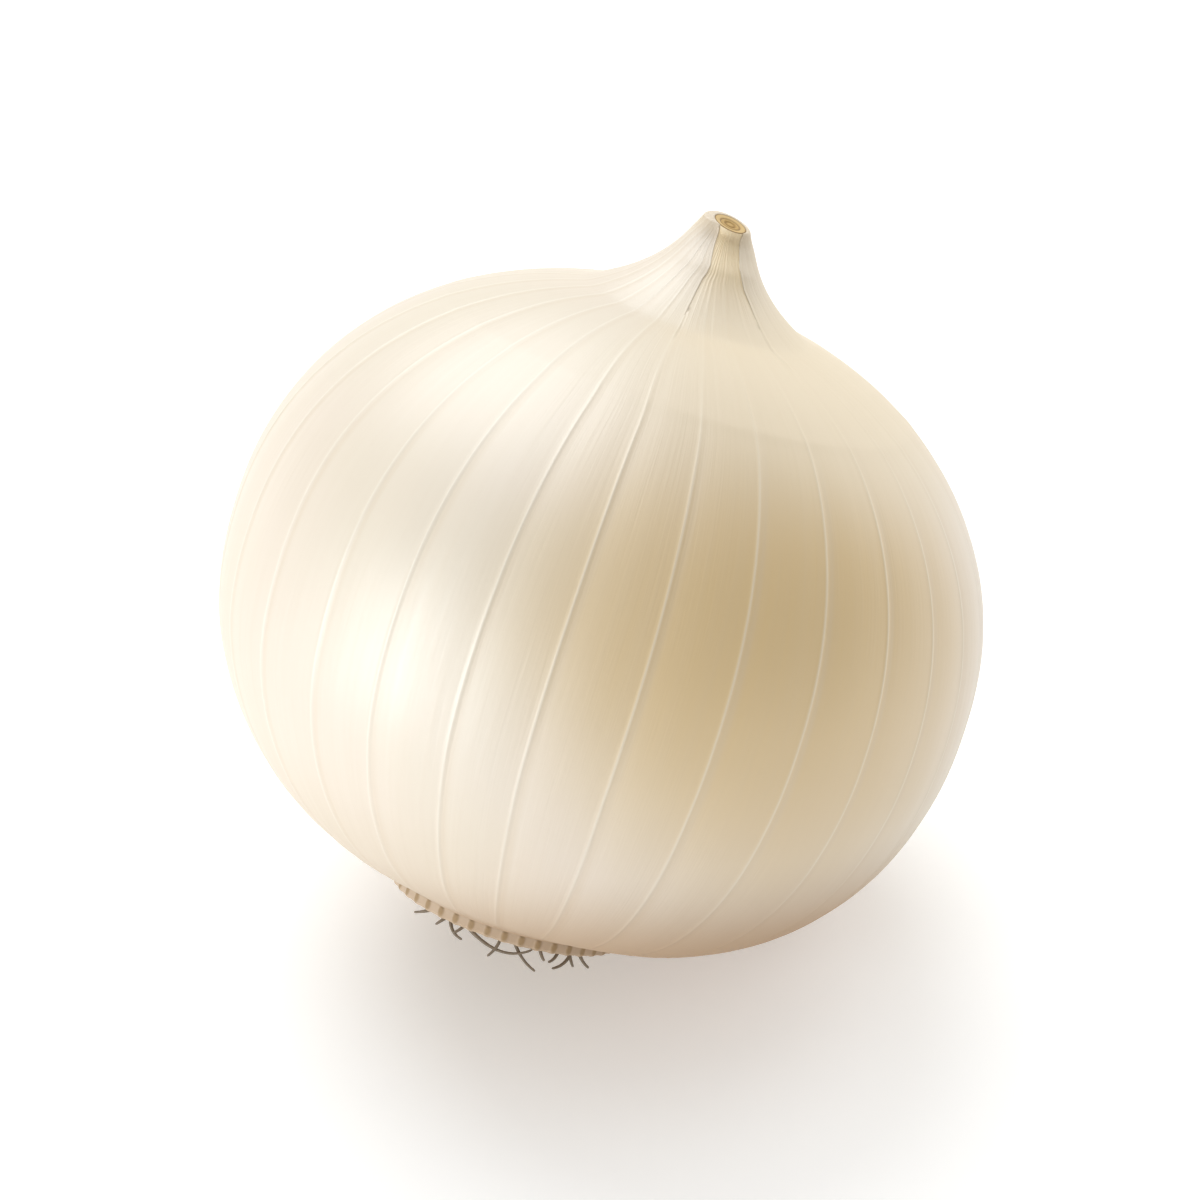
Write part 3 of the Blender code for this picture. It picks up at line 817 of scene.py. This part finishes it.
class Value:
    """A socket of a material's nodes that takes part in Python sums."""

    def __init__(self, tree, socket):
        self.tree = tree
        self.socket = socket

    def math(self, operation, *items, clamp=False):
        made = self.tree.nodes.new("ShaderNodeMath")
        made.operation = operation
        made.use_clamp = clamp
        for slot, item in zip(made.inputs, items):
            put(self.tree, slot, item)
        return Value(self.tree, made.outputs[0])

    def __add__(self, other):
        return self.math("ADD", self, other)

    def __radd__(self, other):
        return self.math("ADD", other, self)

    def __sub__(self, other):
        return self.math("SUBTRACT", self, other)

    def __rsub__(self, other):
        return self.math("SUBTRACT", other, self)

    def __mul__(self, other):
        return self.math("MULTIPLY", self, other)

    def __rmul__(self, other):
        return self.math("MULTIPLY", other, self)

    def __truediv__(self, other):
        return self.math("DIVIDE", self, other)

    def __rtruediv__(self, other):
        return self.math("DIVIDE", other, self)

    def __neg__(self):
        return self.math("MULTIPLY", self, -1.0)

    def fract(self):
        return self.math("FRACT", self)

    def bell(self, half_width):
        """1 where the value is 0, falling away over the half width."""
        share = self / half_width
        return self.math("EXPONENT", -(share * share))

    def clamped(self):
        return self.math("ADD", self, 0.0, clamp=True)


def put(tree, slot, item):
    """Feeds a socket with a link or with a plain value."""
    if isinstance(item, Value):
        tree.links.new(item.socket, slot)
    else:
        slot.default_value = item


class Finish:
    """A material in the making. What is the same all over is set on the shader's own sockets."""

    def __init__(self, name, **fixed):
        self.material = bpy.data.materials.new(name)
        self.material.use_nodes = True
        self.tree = self.material.node_tree
        self.shader = self.tree.nodes["Principled BSDF"]
        for socket, value in fixed.items():
            self.shader.inputs[socket.replace("_", " ")].default_value = value

    def node(self, kind, settings=None, inputs=None, output=0):
        made = self.tree.nodes.new(kind)
        for key, value in (settings or {}).items():
            setattr(made, key, value)
        for key, item in (inputs or {}).items():
            put(self.tree, made.inputs[key], item)
        return Value(self.tree, made.outputs[output])

    def attribute(self, name, output="Fac"):
        return self.node("ShaderNodeAttribute", {"attribute_name": name}, output=output)

    def place(self):
        return self.node("ShaderNodeTexCoord", output="Object")

    def split(self, vector):
        made = self.tree.nodes.new("ShaderNodeSeparateXYZ")
        put(self.tree, made.inputs[0], vector)
        return [Value(self.tree, socket) for socket in made.outputs]

    def join(self, x, y, z):
        return self.node("ShaderNodeCombineXYZ", inputs={0: x, 1: y, 2: z})

    def noise(self, vector, scale, detail=3.0, roughness=0.5):
        inputs = {"Vector": vector, "Scale": scale, "Detail": detail, "Roughness": roughness}
        return self.node("ShaderNodeTexNoise", inputs=inputs)

    def ramp(self, value, low, high):
        """Runs smoothly from 0 at low to 1 at high."""
        settings = {"interpolation_type": "SMOOTHSTEP"}
        inputs = {"Value": value, "From Min": low, "From Max": high}
        return self.node("ShaderNodeMapRange", settings, inputs)

    def mix(self, share, first, second):
        settings = {"data_type": "RGBA"}
        inputs = {0: share, 6: colour(first), 7: colour(second)}
        return self.node("ShaderNodeMix", settings, inputs, output=2)

    def shine(self, roughness):
        put(self.tree, self.shader.inputs["Roughness"], roughness)

    def paint(self, shade):
        put(self.tree, self.shader.inputs["Base Color"], shade)

    def dull(self, share, shade):
        """Where share is 1, a matt shader without gloss shows instead of the first, for a dry
        face or for painted shade.
        """
        inputs = {"Base Color": colour(shade), "IOR": 1.35, "Roughness": 0.8}
        dry_or_painted_shade = self.node("ShaderNodeBsdfPrincipled", inputs=inputs)
        glossy = Value(self.tree, self.shader.outputs[0])
        mixed = self.node("ShaderNodeMixShader", inputs={0: share, 1: glossy, 2: dry_or_painted_shade})
        put(self.tree, self.tree.nodes["Material Output"].inputs["Surface"], mixed)

    def relief(self, height, distance):
        inputs = {"Height": height, "Distance": distance, "Strength": 1.0}
        bumped = self.node("ShaderNodeBump", inputs=inputs)
        put(self.tree, self.shader.inputs["Normal"], bumped)


def colour(item):
    return item if isinstance(item, Value) else (*item, 1.0)


SKIN_CREAM = (0.72, 0.63, 0.51)
SKIN_PINK = (0.73, 0.615, 0.50)
SKIN_OLIVE = (0.70, 0.615, 0.465)
# Tan of the painted shade on the bulb's front
SHADE_PATCH_TAN = (0.66, 0.445, 0.15)
# Pale of the painted highlight along each rib's crest
RIB_HIGHLIGHT = (0.86, 0.80, 0.68)
# The veins' darker tone, also used as painted shade in the hollow right of each rib
RIB_SHADE = (0.60, 0.47, 0.31)
NECK_GOLD = (0.62, 0.49, 0.29)
LIP_TAN = (0.58, 0.42, 0.21)
# Brown of the painted shade on the underside and on the rim's band
UNDER_SHADE_BROWN = (0.45, 0.31, 0.195)
SHEATH_TANS = ((0.70, 0.50, 0.23), (0.90, 0.74, 0.46))
CUT_PALES = ((0.56, 0.39, 0.17), (0.66, 0.48, 0.24))
CUT_CORES = ((0.46, 0.30, 0.11), (0.56, 0.38, 0.16))
CUT_RING = (0.22, 0.13, 0.05)
ROOT_GREYS = ((0.12, 0.09, 0.06), (0.30, 0.24, 0.175))
ROOT_TIP = (0.25, 0.21, 0.165)
PLATE_BROWNS = ((0.20, 0.12, 0.055), (0.46, 0.33, 0.18))
RIM_TAN = (0.50, 0.37, 0.24)
RIM_CREAM = (0.62, 0.51, 0.39)
DENT_BROWN = (0.32, 0.21, 0.10)

# How glossy the papery skin is, and how much its streaks change that
SKIN_GLOSS = {"IOR": 2.0, "Specular_IOR_Level": 0.9}
SKIN_ROUGHNESS = 0.53
ROUGHNESS_SPAN = 0.10

# Streaks and hair lines along the ribs: how dense round the bulb and along it. The slow
# drift between pink and olive, and how the veins' depth is shared by streaks and hair lines.
STREAK_DENSITY = (34.0, 0.035)
HAIR_DENSITY = (110.0, 0.10)
DRIFT_DENSITY = 32.0
DRIFT_SPREAD = (0.35, 0.65)
VEIN_DEPTH = 0.06 * MM
STREAK_DEPTH = 0.7
HAIR_DEPTH = 0.3

# A rib's painted highlight, a pale line along its crest: its half width in mm, and the share of
# that left at the bulb's axis
RIB_HIGHLIGHT_WIDTH = 0.15
LEAST_LINE_SIZE = 0.3

# The veins' shade: how much of it is mixed in, and how far streaks and hair lines change that
VEIN_SHARE = 0.12
STREAK_SHARE = 0.22
HAIR_SHARE = 0.12

# How much of the other tones is mixed in where they are fullest; the hollow's and the
# underside's are painted shade, the crest's is a painted highlight
TINT_SHARE = 0.5
HOLLOW_SHADE_SHARE = 0.28
CREST_HIGHLIGHT_SHARE = 0.40
RIM_SHARE = 0.35
LIP_SHARE = 0.45
UNDER_SHADE_SHARE = 0.95
UNDER_SHADE_TINT_SHARE = 0.15

# Painted shade: a tan patch on the bulb's front, right of its middle, where shade falls, and how
# far round it spreads
SHADE_PATCH_AIM = Vector((0.52, -0.70, 0.49))
SHADE_PATCH_SPREAD = (0.60, 1.02)
SHADE_PATCH_DRIFT = 0.12

# Painted shade: a brown patch on the bulb's underside where shade falls, and the fainter tint
# beyond it
UNDER_SHADE_AIM = Vector((0.05, -0.45, -0.89))
UNDER_SHADE_SPREAD = (0.49, 0.85)
UNDER_SHADE_TINT = (0.15, 0.55)

# The golden tone towards the neck: the bearing that has most of it, the heights in mm where
# it rises and falls, and how much is left or gained
NECK_GOLD_BEARING = math.radians(58)
NECK_GOLD_RISE = (18.0, 31.0)
NECK_GOLD_FALL = (34.0, 39.0)
NECK_GOLD_LOSS = 0.35
NECK_GOLD_FACING = (-0.1, 0.9)
NECK_GOLD_LEAST = 0.12
NECK_GOLD_GAIN = 0.80

# Where other tones come in along the bulb's axis, as heights in mm: faint, then full
RIM_TONE = (-16.0, -32.5)
LIP_TONE = (41.0, 43.4)
SHEATH_TONE = (34.5, 41.0)

# The cut, in shares of its radius: its edge, its darker core, and its dark rings, each with
# its half width and strength
CUT_EDGE = (1.06, 0.98)
CORE_EDGE = (0.60, 0.52)
DARK_RINGS = ((0.60, 0.05, 0.75), (0.97, 0.05, 0.9), (0.28, 0.07, 0.6))

# A root stub's mark: how much longer than wide, the spread at which it fades, its strength
MARK_LENGTHENING = 1.7
MARK_FADE = (0.20, 0.02)
MARK_SHARE = 0.85

# The roots' earthy grain, how pale their tips get, the rim's tan grain, and the painted shade on
# the rim's band
ROOT_GRAIN_DENSITY = 900.0
ROOT_TIP_SHARE = 0.5
ROOT_ROUGHNESS = 0.62
ROOT_ROUGHNESS_SPAN = 0.3
RIM_GRAIN_SHARE = 0.4
RIM_SHADE_SHARE = 0.6


def rib_distance(finish, angle, girth):
    """Millimetres to the nearest rib's crest, negative on its left."""
    phase = angle * (RIBS / FULL_TURN)
    share = (phase + 0.5).fract() - 0.5
    return share * girth * (FULL_TURN / RIBS)


def shade_patch(finish, drift):
    """The painted shade's tan patch: 1 at its middle, fading out round the bulb."""
    x, y, z = finish.split(finish.place())
    toward = x * SHADE_PATCH_AIM.x + y * SHADE_PATCH_AIM.y + z * SHADE_PATCH_AIM.z
    share = (toward - MIDDLE.dot(SHADE_PATCH_AIM)) / BULB_RADIUS
    return finish.ramp(share + (drift - 0.5) * SHADE_PATCH_DRIFT, *SHADE_PATCH_SPREAD)


def underside_shade(finish):
    """Painted shade on the underside: the brown patch, and the fainter tint round it, each
    fading out.
    """
    x, y, z = finish.split(finish.place())
    toward = x * UNDER_SHADE_AIM.x + y * UNDER_SHADE_AIM.y + z * UNDER_SHADE_AIM.z
    share = (toward - MIDDLE.dot(UNDER_SHADE_AIM)) / BULB_RADIUS
    return finish.ramp(share, *UNDER_SHADE_SPREAD), finish.ramp(share, *UNDER_SHADE_TINT)


def near_neck(finish, along):
    """How golden the skin is towards the neck, most of all on its front and right."""
    across, forward, _ = finish.split(finish.attribute("round", "Vector"))
    facing = across * math.cos(NECK_GOLD_BEARING) + forward * math.sin(NECK_GOLD_BEARING)
    loss = finish.ramp(along, *NECK_GOLD_FALL) * NECK_GOLD_LOSS
    rise = finish.ramp(along, *NECK_GOLD_RISE) * (1 - loss)
    return rise * (finish.ramp(facing, *NECK_GOLD_FACING) * NECK_GOLD_GAIN + NECK_GOLD_LEAST)


def streaked(finish, across, forward, along, density, *grain):
    """Noise drawn out along the ribs, as dense round the bulb and along it as asked."""
    round_bulb, up_bulb = density
    place = finish.join(across * round_bulb, forward * round_bulb, along * up_bulb)
    return finish.noise(place, 1.0, *grain)


def papery(finish, streaks, fine):
    """Gives a skin its satin gloss and its fine veins."""
    finish.shine((streaks - 0.5) * ROUGHNESS_SPAN + SKIN_ROUGHNESS)
    finish.relief(streaks * STREAK_DEPTH + fine * HAIR_DEPTH, VEIN_DEPTH)


def skin_colour(finish):
    """Cream skin with fine veins and slow drifts of pink and olive, a tan patch of painted shade
    on the front, a painted highlight along each rib's crest and painted shade in the hollow on
    its right.
    """
    turn = finish.attribute("turn", "Vector")
    girth = finish.attribute("girth")
    along = finish.attribute("along")
    across, forward, _ = finish.split(turn)
    angle = across.math("ARCTAN2", forward, across)
    off_crest = rib_distance(finish, angle, girth)
    grown = girth / (FULL_SIZE_RADIUS / MM) + LEAST_LINE_SIZE
    size = grown.math("MINIMUM", grown, 1.0)
    crest = (off_crest / size).bell(RIB_HIGHLIGHT_WIDTH)
    hollow = ((off_crest / size) - HOLLOW_OFFSET / MM).bell(HOLLOW_HALF_WIDTH / MM)
    streaks = streaked(finish, across, forward, along, STREAK_DENSITY, 3.0, 0.6)
    fine = streaked(finish, across, forward, along, HAIR_DENSITY, 2.0, 0.5)
    drift = finish.noise(finish.place(), DRIFT_DENSITY, 2.0, 0.5)
    tint = finish.mix(finish.ramp(drift, *DRIFT_SPREAD), SKIN_PINK, SKIN_OLIVE)
    shade = finish.mix(TINT_SHARE, SKIN_CREAM, tint)
    # Painted shade: a tan patch on the front, right of the middle
    shade = finish.mix(shade_patch(finish, drift), shade, SHADE_PATCH_TAN)
    veins = (streaks - 0.5) * STREAK_SHARE + (fine - 0.5) * HAIR_SHARE
    shade = finish.mix((veins + VEIN_SHARE).clamped(), shade, RIB_SHADE)
    # Painted shade: the darker tone in the hollow right of each rib
    shade = finish.mix(hollow * HOLLOW_SHADE_SHARE, shade, RIB_SHADE)
    # Painted highlight: a pale line along each rib's crest
    shade = finish.mix(crest * CREST_HIGHLIGHT_SHARE, shade, RIB_HIGHLIGHT)
    return shade, streaks, fine, along


def skin_material():
    finish = Finish("onion_skin", **SKIN_GLOSS)
    shade, streaks, fine, along = skin_colour(finish)
    shade = finish.mix(near_neck(finish, along), shade, NECK_GOLD)
    shade = finish.mix(finish.ramp(along, *RIM_TONE) * RIM_SHARE, shade, RIM_TAN)
    shade = finish.mix(finish.ramp(along, *LIP_TONE) * LIP_SHARE, shade, LIP_TAN)
    # Painted shade on the underside: brown mixed into the colour, then a matt brown shader with
    # no gloss
    under_shade, faint_under_shade = underside_shade(finish)
    finish.paint(finish.mix(faint_under_shade * UNDER_SHADE_TINT_SHARE, shade, UNDER_SHADE_BROWN))
    finish.dull(under_shade * UNDER_SHADE_SHARE, UNDER_SHADE_BROWN)
    papery(finish, streaks, fine)
    return finish.material


def inner_neck_material():
    finish = Finish("inner_neck", **SKIN_GLOSS)
    shade, streaks, fine, along = skin_colour(finish)
    shade = finish.mix(near_neck(finish, along), shade, NECK_GOLD)
    tan = finish.mix(streaks, *SHEATH_TANS)
    finish.paint(finish.mix(finish.ramp(along, *SHEATH_TONE), shade, tan))
    cut = finish.attribute("cut")
    pale = finish.mix(fine, *CUT_PALES)
    core = finish.mix(fine, *CUT_CORES)
    rings = finish.mix(finish.ramp(cut, *CORE_EDGE), pale, core)
    dark = sum((cut - at).bell(width) * strength for at, width, strength in DARK_RINGS)
    rings = finish.mix(dark.clamped(), rings, CUT_RING)
    finish.dull(finish.ramp(cut, *CUT_EDGE), rings)
    papery(finish, streaks, fine)
    return finish.material


def stub_mark(finish):
    """The soft brown marks of the root stubs, all round the rim."""
    across, forward, _ = finish.split(finish.attribute("round", "Vector"))
    bearing = across.math("ARCTAN2", forward, across)
    phase = ((bearing - FIRST_STUB) * (STUBS / FULL_TURN) + 0.5).fract() - 0.5
    off_stub = phase * (FULL_TURN * PLATE_RADIUS / MM / STUBS)
    off_middle = (finish.attribute("along") - STUB_HEIGHT / MM) / MARK_LENGTHENING
    spread = off_stub * off_stub + off_middle * off_middle
    return finish.ramp(spread, *MARK_FADE)


def root_material():
    finish = Finish("roots", IOR=1.4)
    tip = finish.attribute("tip")
    grain = finish.noise(finish.place(), ROOT_GRAIN_DENSITY, 4.0, 0.6)
    root = finish.mix(grain, *ROOT_GREYS)
    root = finish.mix(tip.clamped() * ROOT_TIP_SHARE, root, ROOT_TIP)
    plate = finish.mix(grain, *PLATE_BROWNS)
    band = finish.mix(grain * RIM_GRAIN_SHARE, RIM_CREAM, RIM_TAN)
    # Painted shade from the underside, carried onto the rim's band
    under_shade, _ = underside_shade(finish)
    band = finish.mix(under_shade * RIM_SHADE_SHARE, band, UNDER_SHADE_BROWN)
    band = finish.mix(stub_mark(finish) * MARK_SHARE, band, DENT_BROWN)
    rim = finish.mix(finish.ramp(tip, ON_BAND + 0.1, ON_DISC - 0.1), band, plate)
    finish.paint(finish.mix(finish.ramp(tip, ON_DISC + 0.1, -0.1), rim, root))
    finish.shine(ROOT_ROUGHNESS + (grain - 0.5) * ROOT_ROUGHNESS_SPAN)
    finish.relief(grain, VEIN_DEPTH)
    return finish.material


# Camera and studio
VIEW_HEIGHT = math.radians(38)
LENS = 200.0
SENSOR_WIDTH = 36.0
FRAME_WIDTH = 125.66 * MM
PIXEL = FRAME_WIDTH / 1200
ONION_RIGHT = 1 * PIXEL
ONION_DOWN = 12 * PIXEL
CLIP_START = 0.01
SKY_LIGHT = 0.48
FLOOR_GLOW = 0.22
FLOOR_RADIUS = 2.0
FLOOR_WHITES = ((0.90, 0.90, 0.89), (0.93, 0.93, 0.92))

# The studio's round softboxes: name, direction from the bulb, distance, width, power and tint
SOFTBOXES = (
    ("key", (-0.22, 0.60, 0.77), 0.9, 0.86, 5.1, (0.93, 0.97, 1.0)),
    ("side", (-0.889, -0.441, 0.15), 0.8, 0.35, 2.6, (0.92, 0.965, 1.0)),
    ("top", (0.0, 0.1, 1.0), 0.9, 0.8, 1.3, (1, 1, 1)),
    ("low", (-0.5, -0.86, 0.10), 0.8, 0.5, 0.9, (1, 1, 1)),
    ("back_right", (0.64, 0.70, 0.32), 1.0, 1.0, 3.5, (1, 1, 1)),
)


def make_camera():
    data = bpy.data.cameras.new("camera")
    data.lens = LENS
    data.sensor_width = SENSOR_WIDTH
    data.clip_start = CLIP_START
    camera = bpy.data.objects.new("camera", data)
    bpy.context.scene.collection.objects.link(camera)
    right = Vector((1, 0, 0))
    up = Vector((0, math.sin(VIEW_HEIGHT), math.cos(VIEW_HEIGHT)))
    toward = Vector((0, -math.cos(VIEW_HEIGHT), math.sin(VIEW_HEIGHT)))
    target = MIDDLE + up * ONION_DOWN - right * ONION_RIGHT
    camera.location = target + toward * (FRAME_WIDTH * LENS / SENSOR_WIDTH)
    camera.rotation_euler = (math.pi / 2 - VIEW_HEIGHT, 0, 0)
    bpy.context.scene.camera = camera


def softbox(name, direction, distance, size, power, tint):
    data = bpy.data.lights.new(name, "AREA")
    data.shape = "DISK"
    data.size = size
    data.energy = power
    data.color = tint
    light = bpy.data.objects.new(name, data)
    bpy.context.scene.collection.objects.link(light)
    aim = Vector(direction).normalized()
    light.location = MIDDLE + aim * distance
    light.rotation_euler = aim.to_track_quat("Z", "Y").to_euler()


def make_studio():
    world = bpy.data.worlds.new("studio")
    world.use_nodes = True
    sky = world.node_tree.nodes["Background"]
    sky.inputs["Color"].default_value = (1, 1, 1, 1)
    sky.inputs["Strength"].default_value = SKY_LIGHT
    bpy.context.scene.world = world
    bpy.context.scene.view_settings.view_transform = "Standard"
    for entry in SOFTBOXES:
        softbox(*entry)


def make_floor():
    mesh = bmesh.new()
    bmesh.ops.create_circle(mesh, cap_ends=True, radius=FLOOR_RADIUS, segments=96)
    data = bpy.data.meshes.new("floor")
    mesh.to_mesh(data)
    mesh.free()
    finish = Finish(
        "floor",
        Roughness=0.9,
        Specular_IOR_Level=0.1,
        Emission_Color=(1, 1, 1, 1),
        Emission_Strength=FLOOR_GLOW,
    )
    grain = finish.noise(finish.place(), 30.0)
    finish.paint(finish.mix(grain, *FLOOR_WHITES))
    data.materials.append(finish.material)
    floor = bpy.data.objects.new("floor", data)
    bpy.context.scene.collection.objects.link(floor)


make_skin(skin_material())
make_inner_neck(inner_neck_material())
make_roots(root_material())
make_camera()
make_studio()
make_floor()
